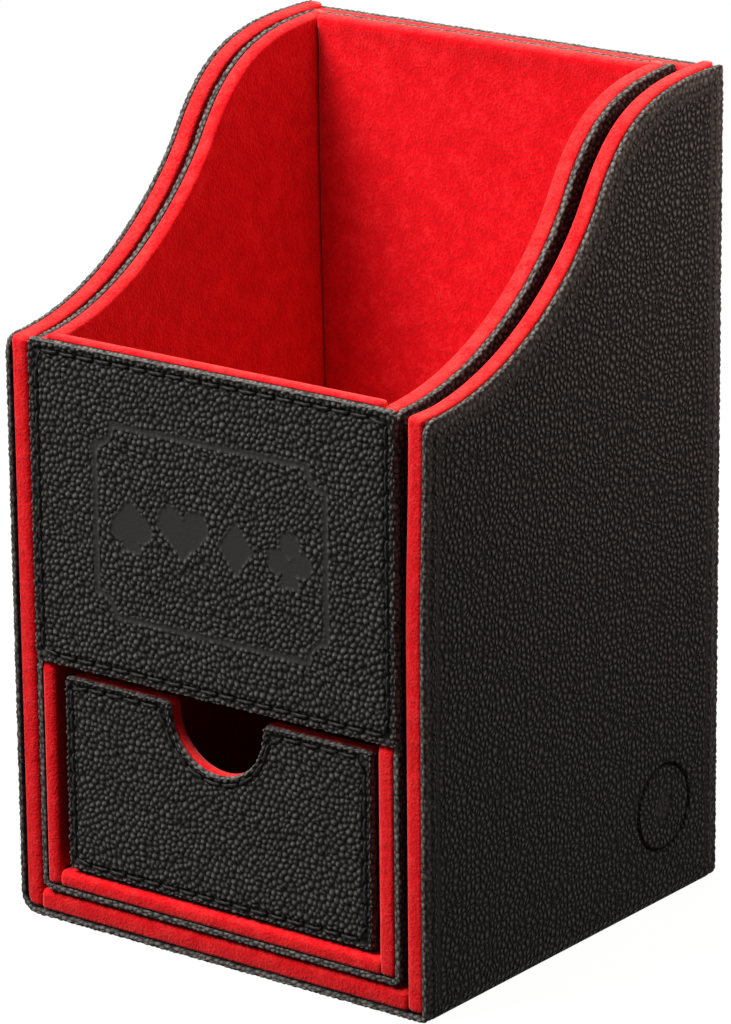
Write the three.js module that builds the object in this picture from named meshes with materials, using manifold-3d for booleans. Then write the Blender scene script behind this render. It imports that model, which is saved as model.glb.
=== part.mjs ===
// Card storage box: a leather-covered casing with swept side walls, an inner box fixed inside it
// with a compartment for sleeved cards, and a drawer below that pulls clean out.
// Millimetres, z up, front facing -y, origin under the middle of the box.

import * as THREE from "three";
import { mergeVertices } from "three/addons/utils/BufferGeometryUtils.js";
import Module from "manifold-3d";

const wasm = await Module();
wasm.setup();

// Outer size of the casing
const CASE_WIDTH = 96;
const CASE_DEPTH = 93.3;
const FRONT_HEIGHT = 112.5;
const BACK_HEIGHT = 158.8;

// The sweep of the side walls: two cubic curves that meet on the steep stretch
const SWEEP_MIDDLE = { y: 53.8, z: 141.2 };
const SWEEP_FRONT_HANDLE = 26;
const SWEEP_BACK_HANDLE = 22.8;
const SWEEP_MIDDLE_HANDLE = { y: 8, z: 13.2 };
const SWEEP_STEPS = 12;

// What the walls are made of, from outside to inside: leather, board, suede lining
const LEATHER = 1.7;
const SIDE_BOARD = 2.35;
const BACK_BOARD = 2.6;
const CASE_FLOOR_BOARD = 3.1;
const INNER_FLOOR_BOARD = 2.6;
const LINING = 0.45;
const GLUE = 0.05;
const BOX_GAP = 0.6;

// How far each layer's edge stands past the casing leather's edge along the sweep
const LINED_RISE = 0.9;
const INNER_LEATHER_RISE = 0.5;

// Front edges, as y from the front plane of the casing
const CASE_LINING_FRONT = 0.6;
const INNER_LEATHER_FRONT = 0;
const INNER_LINING_FRONT = 0.1;

// Rounded corners
const CASE_CORNER = 5;
const INNER_CORNER = 2.2;
const INNER_CORNER_INSIDE = 0.5;
const EDGE_CORNER = 1.8;
const CORNER_STEPS = 6;
const SMALL_CORNER_STEPS = 4;

// Fixed front panel
const PANEL_HALF = 42.1;
const PANEL_BOTTOM = 51.5;
const PANEL_TOP = 114;
const PANEL_PROUD = 0.7;
const PANEL_LEATHER = 1.4;
const PANEL_BOARD = 2.5;
const PANEL_CORNER = 1;

// Shelf that parts the card compartment from the drawer bay
const SHELF_BOARD = 2.45;

// Drawer
const DRAWER_HALF = 35.6;
const DRAWER_FRONT = 0.2;
const DRAWER_BACK = 82.4;
const DRAWER_TOP = 49.5;
const DRAWER_CLEARANCE = 0.3;
const DRAWER_LEATHER = 1.4;
const DRAWER_LEATHER_BOTTOM = 11.2;
const DRAWER_LEATHER_TOP = 49.4;
const DRAWER_SKIN = 0.45;
const DRAWER_BOARD = 2;
const NOTCH_RADIUS = 10.8;
const NOTCH_CENTRE = 48;
const NOTCH_STEPS = 16;

// Pressed marks in the leather
const PRESS_DEPTH = 0.45;
const RING = { y: 75, z: 19.2, outer: 8.75, inner: 7.95, steps: 36 };
const LOZENGE = { halfWidth: 3, halfHeight: 4 };
const FRAME = { x: 27, bottom: 63.5, top: 101, line: 0.9, bite: 4.2 };
const PIP_SPACING = 12.2;
const PIP_HEIGHT = 10.5;

// Proportions of the four card suits, as shares of their height
const DIAMOND_HALF = 0.38;
const SPADE_LEAF = 0.82;
const SPADE_LIFT = 0.09;
const FOOT_HALF = 0.22;
const STEM_HALF = 0.05;
const LOBE_RADIUS = 0.225;
const LOBE_APART = 0.252;
const LOBE_DROP = 0.056;
const LOBE_STEPS = 16;
const HEART_STEPS = 26;

// Colours
const LEATHER_BLACK = new THREE.MeshStandardMaterial({ color: "#262322", roughness: 0.5, metalness: 0 });
const SUEDE_RED = new THREE.MeshStandardMaterial({ color: "#d8131d", roughness: 0.95, metalness: 0 });
const GREY_BOARD = new THREE.MeshStandardMaterial({ color: "#8b877c", roughness: 0.9, metalness: 0 });

// Faces that follow from the sizes above: half-widths of the side layers
const caseBoardOut = CASE_WIDTH / 2 - LEATHER - GLUE;
const caseLiningIn = caseBoardOut - SIDE_BOARD - GLUE - LINING;
const innerLeatherOut = caseLiningIn - BOX_GAP;
const innerBoardOut = innerLeatherOut - LEATHER - GLUE;
const innerLiningIn = innerBoardOut - SIDE_BOARD - GLUE - LINING;

// Heights of the floor layers
const caseBoardBottom = LEATHER + GLUE;
const caseFloor = caseBoardBottom + CASE_FLOOR_BOARD + GLUE + LINING;
const innerLeatherBottom = caseFloor + GLUE;
const innerBoardBottom = innerLeatherBottom + LEATHER + GLUE;
const bayFloor = innerBoardBottom + INNER_FLOOR_BOARD + GLUE + LINING;

// Depths of the back layers
const caseBoardBack = CASE_DEPTH - LEATHER - GLUE;
const caseLiningBack = caseBoardBack - BACK_BOARD - GLUE - LINING;
const innerLeatherBack = caseLiningBack - BOX_GAP;
const innerBoardBack = innerLeatherBack - LEATHER - GLUE;
const innerLiningBack = innerBoardBack - BACK_BOARD - GLUE - LINING;

// The front panel's layers and the shelf behind it
const panelBoardFront = PANEL_LEATHER - PANEL_PROUD + GLUE;
const panelLiningBack = panelBoardFront + PANEL_BOARD + GLUE + LINING;
const linedTopFront = FRONT_HEIGHT + LINED_RISE;
const linedTopBack = BACK_HEIGHT + LINED_RISE;
const shelfBoardBottom = PANEL_BOTTOM + GLUE + LINING + GLUE;
const shelfTop = shelfBoardBottom + SHELF_BOARD + GLUE + LINING;

// The drawer's layers
const drawerBottom = bayFloor + DRAWER_CLEARANCE;
const drawerBoardOut = DRAWER_HALF - DRAWER_SKIN - GLUE;
const drawerLiningIn = drawerBoardOut - DRAWER_BOARD - GLUE - LINING;
const drawerBoardBottom = drawerBottom + DRAWER_SKIN + GLUE;
const drawerBoardTop = DRAWER_TOP - LINING - GLUE;
const drawerBoardFront = DRAWER_FRONT + DRAWER_LEATHER + GLUE;
const drawerLiningFront = drawerBoardFront + SIDE_BOARD + GLUE + LINING;
const drawerBoardBack = DRAWER_BACK - DRAWER_SKIN - GLUE;
const drawerLiningBack = drawerBoardBack - DRAWER_BOARD - GLUE - LINING;

// More than any cut needs
const PAST = 5;

// A closed geometry as a solid that can be joined and cut
function solidOf(geometry) {
  const bare = geometry.clone();
  bare.deleteAttribute("normal");
  bare.deleteAttribute("uv");
  const merged = mergeVertices(bare);
  const vertProperties = new Float32Array(merged.attributes.position.array);
  const triVerts = new Uint32Array(merged.index.array);
  return new wasm.Manifold(new wasm.Mesh({ numProp: 3, vertProperties, triVerts }));
}

function geometryOf(solid) {
  const mesh = solid.getMesh();
  const geometry = new THREE.BufferGeometry();
  geometry.setAttribute("position", new THREE.BufferAttribute(mesh.vertProperties, 3));
  geometry.setIndex(new THREE.BufferAttribute(mesh.triVerts, 1));
  geometry.computeVertexNormals();
  return geometry;
}

function block(x0, x1, y0, y1, z0, z1) {
  const geometry = new THREE.BoxGeometry(x1 - x0, y1 - y0, z1 - z0);
  geometry.translate((x0 + x1) / 2, (y0 + y1) / 2, (z0 + z1) / 2);
  return solidOf(geometry);
}

// An outline of [y, z] points, made solid from one plane of x to another
function acrossX(outline, x0, x1) {
  const shape = new THREE.Shape(outline.map(([y, z]) => new THREE.Vector2(y, z)));
  const geometry = new THREE.ExtrudeGeometry(shape, { depth: x1 - x0, bevelEnabled: false });
  const yzx = new THREE.Matrix4().makeBasis(
    new THREE.Vector3(0, 1, 0), new THREE.Vector3(0, 0, 1), new THREE.Vector3(1, 0, 0));
  geometry.applyMatrix4(yzx);
  geometry.translate(x0, 0, 0);
  return solidOf(geometry);
}

// An outline of [x, z] points, made solid from one plane of y to another
function alongY(outline, y0, y1, hole = null) {
  const shape = new THREE.Shape(outline.map(([x, z]) => new THREE.Vector2(x, z)));
  if (hole) {
    shape.holes.push(new THREE.Path(hole.map(([x, z]) => new THREE.Vector2(x, z))));
  }
  const geometry = new THREE.ExtrudeGeometry(shape, { depth: y1 - y0, bevelEnabled: false });
  const xzy = new THREE.Matrix4().makeBasis(
    new THREE.Vector3(1, 0, 0), new THREE.Vector3(0, 0, 1), new THREE.Vector3(0, -1, 0));
  geometry.applyMatrix4(xzy);
  geometry.translate(0, y1, 0);
  return solidOf(geometry);
}

// Points on an arc from one angle to another, in degrees
function arc(centreX, centreY, radius, from, to, steps = CORNER_STEPS) {
  return Array.from({ length: steps + 1 }, (_, i) => {
    const angle = THREE.MathUtils.degToRad(from + ((to - from) * i) / steps);
    return [centreX + radius * Math.cos(angle), centreY + radius * Math.sin(angle)];
  });
}

// The sweep as [y, z] points, moved out from the casing leather's edge by rise
function sweep(rise) {
  const point = (y, z) => new THREE.Vector2(y, z);
  const middle = point(SWEEP_MIDDLE.y, SWEEP_MIDDLE.z);
  const handle = point(SWEEP_MIDDLE_HANDLE.y, SWEEP_MIDDLE_HANDLE.z);
  const low = new THREE.CubicBezierCurve(
    point(0, FRONT_HEIGHT), point(SWEEP_FRONT_HANDLE, FRONT_HEIGHT), middle.clone().sub(handle), middle);
  const high = new THREE.CubicBezierCurve(
    middle, middle.clone().add(handle), point(CASE_DEPTH - SWEEP_BACK_HANDLE, BACK_HEIGHT),
    point(CASE_DEPTH, BACK_HEIGHT));
  const moved = (curve, t) => {
    const at = curve.getPoint(t);
    const along = curve.getTangent(t);
    return [at.x - along.y * rise, at.y + along.x * rise];
  };
  const steps = Array.from({ length: SWEEP_STEPS + 1 }, (_, i) => i / SWEEP_STEPS);
  return [...steps.map((t) => moved(low, t)), ...steps.slice(1).map((t) => moved(high, t))];
}

// The height of a line of [y, z] points at y, level past its end
function heightAt(line, y) {
  const after = line.findIndex((point) => point[0] >= y);
  if (after < 1) {
    return line[line.length - 1][1];
  }
  const [[y0, z0], [y1, z1]] = [line[after - 1], line[after]];
  return z0 + ((z1 - z0) * (y - y0)) / (y1 - y0);
}

// A side wall's outline: up the front edge, round its top corner, along the sweep, down the back edge.
// Below the panel the front edge may stand further forward.
function sideOutline({ rise, front, back, bottom, corner = EDGE_CORNER, frontBelowPanel = front }) {
  const line = sweep(rise);
  const top = line[0][1];
  const between = line.filter(([y]) => y > front + corner && y < back);
  const outline = [[frontBelowPanel, bottom]];
  if (frontBelowPanel !== front) {
    outline.push([frontBelowPanel, PANEL_BOTTOM], [front, PANEL_BOTTOM]);
  }
  outline.push(...arc(front + corner, top - corner, corner, 180, 90, SMALL_CORNER_STEPS));
  outline.push(...between, [back, heightAt(line, back)], [back, bottom]);
  return outline;
}

// A U-shaped wrap seen from the front: outer corners rounded by outer, inner ones by inner
function wrapOutline(half, bottom, top, thickness, outer, inner) {
  const inside = half - thickness;
  const floor = bottom + thickness;
  return [
    [-half, top],
    ...arc(-half + outer, bottom + outer, outer, 180, 270),
    ...arc(half - outer, bottom + outer, outer, 270, 360),
    [half, top],
    [inside, top],
    ...arc(inside - inner, floor + inner, inner, 360, 270),
    ...arc(-inside + inner, floor + inner, inner, 270, 180),
    [-inside, top],
  ];
}

// What fits inside a wrap: a block with rounded bottom corners
function wrapCore(half, bottom, corner) {
  const outline = [
    [-half, BACK_HEIGHT + PAST],
    ...arc(-half + corner, bottom + corner, corner, 180, 270),
    ...arc(half - corner, bottom + corner, corner, 270, 360),
    [half, BACK_HEIGHT + PAST],
  ];
  return alongY(outline, -PAST, CASE_DEPTH + PAST);
}

// A board whose inner face, front edge and top edge are wrapped in lining; side is -1 or 1
function linedWall(side, { out, into, bottom, back, front, frontBelowPanel, core }) {
  const span = (a, b) => [Math.min(side * a, side * b), Math.max(side * a, side * b)];
  const wrapped = (trim) => sideOutline({
    rise: LINED_RISE - trim,
    front: front + trim,
    frontBelowPanel: frontBelowPanel === undefined ? front + trim : frontBelowPanel + trim,
    back: trim === LINING ? back + PAST : back,
    bottom: trim === LINING ? bottom - PAST : bottom,
    corner: EDGE_CORNER - trim,
  });
  const lining = acrossX(wrapped(0), ...span(into, out))
    .subtract(acrossX(wrapped(LINING), ...span(into + LINING, out + PAST)))
    .intersect(core);
  const board = acrossX(wrapped(LINING + GLUE), ...span(into + LINING + GLUE, out)).intersect(core);
  return { board, lining };
}

// Lining over a board's front face and its top: on a floor board the top is the wide face,
// on a back board it is the top edge
function foldedLining(half, front, back, bottom, top) {
  const outline = [
    [front, bottom], [front + LINING, bottom], [front + LINING, top - LINING],
    [back, top - LINING], [back, top], [front, top],
  ];
  return acrossX(outline, -half, half);
}

// Casing

function caseLeatherWrap() {
  const wrap = alongY(
    wrapOutline(CASE_WIDTH / 2, 0, BACK_HEIGHT + PAST, LEATHER, CASE_CORNER, CASE_CORNER - LEATHER),
    0, CASE_DEPTH);
  const side = acrossX(
    sideOutline({ rise: 0, front: 0, back: CASE_DEPTH, bottom: -PAST }),
    -CASE_WIDTH, CASE_WIDTH);
  const ringAt = (radius) => arc(RING.y, RING.z, radius, 0, 360, RING.steps).slice(1);
  const pressFloor = CASE_WIDTH / 2 - PRESS_DEPTH;
  const disc = acrossX(ringAt(RING.outer), pressFloor, CASE_WIDTH);
  const middle = acrossX(ringAt(RING.inner), pressFloor - PAST, CASE_WIDTH + PAST);
  const lozenge = acrossX([
    [RING.y - LOZENGE.halfWidth, RING.z], [RING.y, RING.z - LOZENGE.halfHeight],
    [RING.y + LOZENGE.halfWidth, RING.z], [RING.y, RING.z + LOZENGE.halfHeight],
  ], pressFloor, CASE_WIDTH);
  return wrap.intersect(side).subtract(disc.subtract(middle)).subtract(lozenge);
}

function caseBackLeather() {
  const half = caseBoardOut;
  return block(-half, half, caseBoardBack + GLUE, CASE_DEPTH, caseBoardBottom, BACK_HEIGHT)
    .intersect(wrapCore(half, caseBoardBottom, CASE_CORNER - LEATHER - GLUE));
}

function caseSide(side) {
  return linedWall(side, {
    out: caseBoardOut, into: caseLiningIn, bottom: caseBoardBottom, back: caseBoardBack,
    front: CASE_LINING_FRONT,
    core: wrapCore(caseBoardOut, caseBoardBottom, CASE_CORNER - LEATHER - GLUE),
  });
}

function caseFloorBoard() {
  const half = caseLiningIn - GLUE;
  const front = CASE_LINING_FRONT + LINING + GLUE;
  return block(-half, half, front, caseBoardBack, caseBoardBottom, caseBoardBottom + CASE_FLOOR_BOARD);
}

function caseFloorLining() {
  return foldedLining(caseLiningIn - GLUE, CASE_LINING_FRONT, caseBoardBack, caseBoardBottom, caseFloor);
}

function caseBackBoard() {
  const half = caseLiningIn - GLUE;
  const top = linedTopBack - LINING - GLUE;
  return block(-half, half, caseBoardBack - BACK_BOARD, caseBoardBack, caseFloor + GLUE, top);
}

function caseBackLining() {
  return foldedLining(caseLiningIn - GLUE, caseLiningBack, caseBoardBack, caseFloor + GLUE, linedTopBack);
}

// Inner box

function innerLeatherWrap() {
  const wrap = alongY(
    wrapOutline(innerLeatherOut, innerLeatherBottom, BACK_HEIGHT + PAST, LEATHER, INNER_CORNER,
      INNER_CORNER_INSIDE),
    -PAST, innerLeatherBack);
  const side = acrossX(
    sideOutline({
      rise: INNER_LEATHER_RISE, front: panelBoardFront, frontBelowPanel: INNER_LEATHER_FRONT,
      back: CASE_DEPTH, bottom: -PAST,
    }),
    -CASE_WIDTH, CASE_WIDTH);
  return wrap.intersect(side);
}

function innerBackLeather() {
  const half = innerLeatherOut - LEATHER - GLUE;
  return block(-half, half, innerBoardBack + GLUE, innerLeatherBack, innerBoardBottom,
    BACK_HEIGHT + INNER_LEATHER_RISE)
    .intersect(wrapCore(half, innerBoardBottom, INNER_CORNER_INSIDE));
}

function innerSide(side) {
  return linedWall(side, {
    out: innerBoardOut, into: innerLiningIn, bottom: innerBoardBottom, back: innerBoardBack,
    front: panelBoardFront, frontBelowPanel: INNER_LINING_FRONT,
    core: wrapCore(innerBoardOut, innerBoardBottom, INNER_CORNER_INSIDE),
  });
}

function innerFloorBoard() {
  const half = innerLiningIn - GLUE;
  const front = INNER_LINING_FRONT + LINING + GLUE;
  return block(-half, half, front, innerBoardBack, innerBoardBottom, innerBoardBottom + INNER_FLOOR_BOARD);
}

function innerFloorLining() {
  return foldedLining(innerLiningIn - GLUE, INNER_LINING_FRONT, innerBoardBack, innerBoardBottom, bayFloor);
}

function innerBackBoard() {
  const half = innerLiningIn - GLUE;
  const top = linedTopBack - LINING - GLUE;
  return block(-half, half, innerBoardBack - BACK_BOARD, innerBoardBack, bayFloor + GLUE, top);
}

function innerBackLining() {
  return foldedLining(innerLiningIn - GLUE, innerLiningBack, innerBoardBack, bayFloor + GLUE, linedTopBack);
}

function shelfBoard() {
  const half = innerLiningIn - GLUE;
  return block(-half, half, panelLiningBack + GLUE, innerLiningBack - GLUE, shelfBoardBottom,
    shelfBoardBottom + SHELF_BOARD);
}

function shelfTopLining() {
  const half = innerLiningIn - GLUE;
  return block(-half, half, panelLiningBack + GLUE, innerLiningBack - GLUE, shelfTop - LINING, shelfTop);
}

function shelfUnderLining() {
  const half = innerLiningIn - GLUE;
  const top = shelfBoardBottom - GLUE;
  return block(-half, half, panelLiningBack + GLUE, innerLiningBack - GLUE, top - LINING, top);
}

// Front panel

function panelBoard() {
  const half = innerLiningIn - GLUE;
  const trim = LINING + GLUE;
  return block(-half, half, panelBoardFront, panelBoardFront + PANEL_BOARD, PANEL_BOTTOM + trim,
    linedTopFront - trim);
}

// Lining over the panel's back, folded over its top and bottom edges
function panelLining() {
  const sheet = panelLiningBack - LINING;
  const outline = [
    [panelBoardFront, PANEL_BOTTOM], [panelLiningBack, PANEL_BOTTOM],
    [panelLiningBack, linedTopFront], [panelBoardFront, linedTopFront],
    [panelBoardFront, linedTopFront - LINING], [sheet, linedTopFront - LINING],
    [sheet, PANEL_BOTTOM + LINING], [panelBoardFront, PANEL_BOTTOM + LINING],
  ];
  return acrossX(outline, -innerLiningIn + GLUE, innerLiningIn - GLUE);
}

function panelLeather() {
  const x = PANEL_HALF - PANEL_CORNER;
  const low = PANEL_BOTTOM + PANEL_CORNER;
  const high = PANEL_TOP - PANEL_CORNER;
  const outline = [
    ...arc(-x, low, PANEL_CORNER, 180, 270, SMALL_CORNER_STEPS),
    ...arc(x, low, PANEL_CORNER, 270, 360, SMALL_CORNER_STEPS),
    ...arc(x, high, PANEL_CORNER, 0, 90, SMALL_CORNER_STEPS),
    ...arc(-x, high, PANEL_CORNER, 90, 180, SMALL_CORNER_STEPS),
  ];
  return alongY(outline, -PANEL_PROUD, PANEL_LEATHER - PANEL_PROUD).subtract(panelPressing());
}

// The pressed mark on the panel: a frame with bitten corners round the four card suits
function panelPressing() {
  const front = -PANEL_PROUD - PAST;
  const floor = -PANEL_PROUD + PRESS_DEPTH;
  const frame = alongY(bittenFrame(0), front, floor, bittenFrame(FRAME.line));
  const middle = (FRAME.bottom + FRAME.top) / 2;
  const pips = [spade, heart, diamond, club].map((pip, i) =>
    pip((i - 1.5) * PIP_SPACING, middle, PIP_HEIGHT, front, floor));
  return pips.reduce((joined, pip) => joined.add(pip), frame);
}

// A rectangle whose corners are bitten away by quarter circles, moved in by inset
function bittenFrame(inset) {
  const x = FRAME.x - inset;
  const low = FRAME.bottom + inset;
  const high = FRAME.top - inset;
  const bite = FRAME.bite;
  return [
    ...arc(-x, low, bite, 90, 0),
    ...arc(x, low, bite, 180, 90),
    ...arc(x, high, bite, 270, 180),
    ...arc(-x, high, bite, 0, -90),
  ];
}

function diamond(x, z, height, front, floor) {
  const wide = height * DIAMOND_HALF;
  const high = height / 2;
  return alongY([[x - wide, z], [x, z - high], [x + wide, z], [x, z + high]], front, floor);
}

// A heart's outline by its usual formula, which is 29 high with its middle at -2.5;
// flip is -1 for the spade's leaf
function heartOutline(x, z, height, flip) {
  const scale = height / 29;
  return Array.from({ length: HEART_STEPS }, (_, i) => {
    const t = (i / HEART_STEPS) * 2 * Math.PI;
    const across = 16 * Math.sin(t) ** 3;
    const up = 13 * Math.cos(t) - 5 * Math.cos(2 * t) - 2 * Math.cos(3 * t) - Math.cos(4 * t) + 2.5;
    return [x + across * scale, z + up * scale * flip];
  });
}

function heart(x, z, height, front, floor) {
  return alongY(heartOutline(x, z, height, 1), front, floor);
}

// The flared foot that spade and club stand on
function pipFoot(x, z, height, front, floor) {
  const wide = height * FOOT_HALF;
  const slim = height * STEM_HALF;
  const bottom = z - height / 2;
  return alongY([[x - wide, bottom], [x + wide, bottom], [x + slim, z], [x - slim, z]], front, floor);
}

function spade(x, z, height, front, floor) {
  const outline = heartOutline(x, z + height * SPADE_LIFT, height * SPADE_LEAF, -1);
  const leaf = alongY(outline, front, floor);
  return leaf.add(pipFoot(x, z, height, front, floor));
}

function club(x, z, height, front, floor) {
  const radius = height * LOBE_RADIUS;
  const apart = height * LOBE_APART;
  const drop = height * LOBE_DROP;
  const lobe = (dx, dz) =>
    alongY(arc(x + dx, z + dz, radius, 0, 360, LOBE_STEPS).slice(1), front, floor);
  return lobe(0, height / 2 - radius)
    .add(lobe(-apart, -drop))
    .add(lobe(apart, -drop))
    .add(pipFoot(x, z, height, front, floor));
}

// Drawer

// The drawer front's outline, with its half-round finger notch, seen from the front
function notchedOutline(half, bottom, top, radius) {
  const start = THREE.MathUtils.radToDeg(Math.asin((top - NOTCH_CENTRE) / radius));
  return [
    [-half, bottom], [half, bottom], [half, top],
    ...arc(0, NOTCH_CENTRE, radius, start, -180 - start, NOTCH_STEPS),
    [-half, top],
  ];
}

function drawerFrontLeather() {
  const outline = notchedOutline(DRAWER_HALF, DRAWER_LEATHER_BOTTOM, DRAWER_LEATHER_TOP, NOTCH_RADIUS);
  return alongY(outline, DRAWER_FRONT, DRAWER_FRONT + DRAWER_LEATHER);
}

function drawerFrontBoard() {
  const outline = notchedOutline(drawerBoardOut, drawerBoardBottom, drawerBoardTop,
    NOTCH_RADIUS + LINING + GLUE);
  return alongY(outline, drawerBoardFront, drawerBoardFront + SIDE_BOARD);
}

// Lining on the drawer front's inside, folded over its top edge and through the notch
function drawerFrontLining() {
  const whole = notchedOutline(drawerBoardOut, drawerBoardBottom, DRAWER_TOP, NOTCH_RADIUS);
  const hollow = notchedOutline(drawerBoardOut + PAST, drawerBoardBottom - PAST, DRAWER_TOP - LINING,
    NOTCH_RADIUS + LINING);
  return alongY(whole, drawerBoardFront, drawerLiningFront)
    .subtract(alongY(hollow, drawerBoardFront - PAST, drawerLiningFront - LINING));
}

function drawerSkin() {
  const top = drawerBoardTop;
  const outline = [
    [-DRAWER_HALF, drawerBottom], [DRAWER_HALF, drawerBottom], [DRAWER_HALF, top],
    [DRAWER_HALF - DRAWER_SKIN, top], [DRAWER_HALF - DRAWER_SKIN, drawerBottom + DRAWER_SKIN],
    [-DRAWER_HALF + DRAWER_SKIN, drawerBottom + DRAWER_SKIN], [-DRAWER_HALF + DRAWER_SKIN, top],
    [-DRAWER_HALF, top],
  ];
  return alongY(outline, drawerBoardFront, DRAWER_BACK);
}

function drawerBackSkin() {
  const half = drawerBoardOut;
  return block(-half, half, drawerBoardBack + GLUE, DRAWER_BACK, drawerBoardBottom, drawerBoardTop);
}

function drawerSideBoard(side) {
  const faces = [side * drawerBoardOut, side * (drawerBoardOut - DRAWER_BOARD)].sort((a, b) => a - b);
  return block(...faces, drawerLiningFront + GLUE, drawerBoardBack, drawerBoardBottom, drawerBoardTop);
}

// Lining inside a drawer side, folded over its top edge
function drawerSideLining(side) {
  const out = side * drawerBoardOut;
  const sheet = side * (drawerLiningIn + LINING);
  const inside = side * drawerLiningIn;
  const outline = [
    [out, DRAWER_TOP], [inside, DRAWER_TOP], [inside, drawerBoardBottom],
    [sheet, drawerBoardBottom], [sheet, DRAWER_TOP - LINING], [out, DRAWER_TOP - LINING],
  ];
  return alongY(outline, drawerLiningFront + GLUE, drawerBoardBack);
}

function drawerBackBoard() {
  const half = drawerLiningIn - GLUE;
  return block(-half, half, drawerBoardBack - DRAWER_BOARD, drawerBoardBack, drawerBoardBottom,
    drawerBoardTop);
}

function drawerBackLining() {
  const half = drawerLiningIn - GLUE;
  return foldedLining(half, drawerLiningBack, drawerBoardBack, drawerBoardBottom, DRAWER_TOP);
}

function drawerFloorBoard() {
  const half = drawerLiningIn - GLUE;
  return block(-half, half, drawerLiningFront + GLUE, drawerLiningBack - GLUE, drawerBoardBottom,
    drawerBoardBottom + DRAWER_BOARD);
}

function drawerFloorLining() {
  const half = drawerLiningIn - GLUE;
  const bottom = drawerBoardBottom + DRAWER_BOARD + GLUE;
  return block(-half, half, drawerLiningFront + GLUE, drawerLiningBack - GLUE, bottom, bottom + LINING);
}

// The whole box

function piece(name, material, solid) {
  const mesh = new THREE.Mesh(geometryOf(solid), material);
  mesh.name = name;
  return mesh;
}

function casing() {
  const group = new THREE.Group();
  const left = caseSide(-1);
  const right = caseSide(1);
  group.add(
    piece("case_leather_wrap", LEATHER_BLACK, caseLeatherWrap()),
    piece("case_back_leather", LEATHER_BLACK, caseBackLeather()),
    piece("case_left_board", GREY_BOARD, left.board),
    piece("case_left_lining", SUEDE_RED, left.lining),
    piece("case_right_board", GREY_BOARD, right.board),
    piece("case_right_lining", SUEDE_RED, right.lining),
    piece("case_floor_board", GREY_BOARD, caseFloorBoard()),
    piece("case_floor_lining", SUEDE_RED, caseFloorLining()),
    piece("case_back_board", GREY_BOARD, caseBackBoard()),
    piece("case_back_lining", SUEDE_RED, caseBackLining()),
  );
  return group;
}

function innerBox() {
  const group = new THREE.Group();
  const left = innerSide(-1);
  const right = innerSide(1);
  group.add(
    piece("inner_leather_wrap", LEATHER_BLACK, innerLeatherWrap()),
    piece("inner_back_leather", LEATHER_BLACK, innerBackLeather()),
    piece("inner_left_board", GREY_BOARD, left.board),
    piece("inner_left_lining", SUEDE_RED, left.lining),
    piece("inner_right_board", GREY_BOARD, right.board),
    piece("inner_right_lining", SUEDE_RED, right.lining),
    piece("inner_floor_board", GREY_BOARD, innerFloorBoard()),
    piece("inner_floor_lining", SUEDE_RED, innerFloorLining()),
    piece("inner_back_board", GREY_BOARD, innerBackBoard()),
    piece("inner_back_lining", SUEDE_RED, innerBackLining()),
    piece("shelf_board", GREY_BOARD, shelfBoard()),
    piece("shelf_top_lining", SUEDE_RED, shelfTopLining()),
    piece("shelf_under_lining", SUEDE_RED, shelfUnderLining()),
    piece("front_panel_board", GREY_BOARD, panelBoard()),
    piece("front_panel_lining", SUEDE_RED, panelLining()),
    piece("front_panel_leather", LEATHER_BLACK, panelLeather()),
  );
  return group;
}

function drawer() {
  const group = new THREE.Group();
  group.add(
    piece("drawer_front_leather", LEATHER_BLACK, drawerFrontLeather()),
    piece("drawer_front_board", GREY_BOARD, drawerFrontBoard()),
    piece("drawer_front_lining", SUEDE_RED, drawerFrontLining()),
    piece("drawer_skin", LEATHER_BLACK, drawerSkin()),
    piece("drawer_back_skin", LEATHER_BLACK, drawerBackSkin()),
    piece("drawer_left_board", GREY_BOARD, drawerSideBoard(-1)),
    piece("drawer_left_lining", SUEDE_RED, drawerSideLining(-1)),
    piece("drawer_right_board", GREY_BOARD, drawerSideBoard(1)),
    piece("drawer_right_lining", SUEDE_RED, drawerSideLining(1)),
    piece("drawer_back_board", GREY_BOARD, drawerBackBoard()),
    piece("drawer_back_lining", SUEDE_RED, drawerBackLining()),
    piece("drawer_floor_board", GREY_BOARD, drawerFloorBoard()),
    piece("drawer_floor_lining", SUEDE_RED, drawerFloorLining()),
  );
  return group;
}

// The box is drawn from the casing's front plane, then moved so that the origin is under its middle
const cardBox = new THREE.Group();
cardBox.add(casing(), innerBox(), drawer());
cardBox.position.y = (PANEL_PROUD - CASE_DEPTH) / 2;

export default cardBox;
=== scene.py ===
import math
from collections import namedtuple

import bpy
import numpy as np
from mathutils import Matrix, Vector, kdtree
from mathutils.geometry import delaunay_2d_cdt


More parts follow.
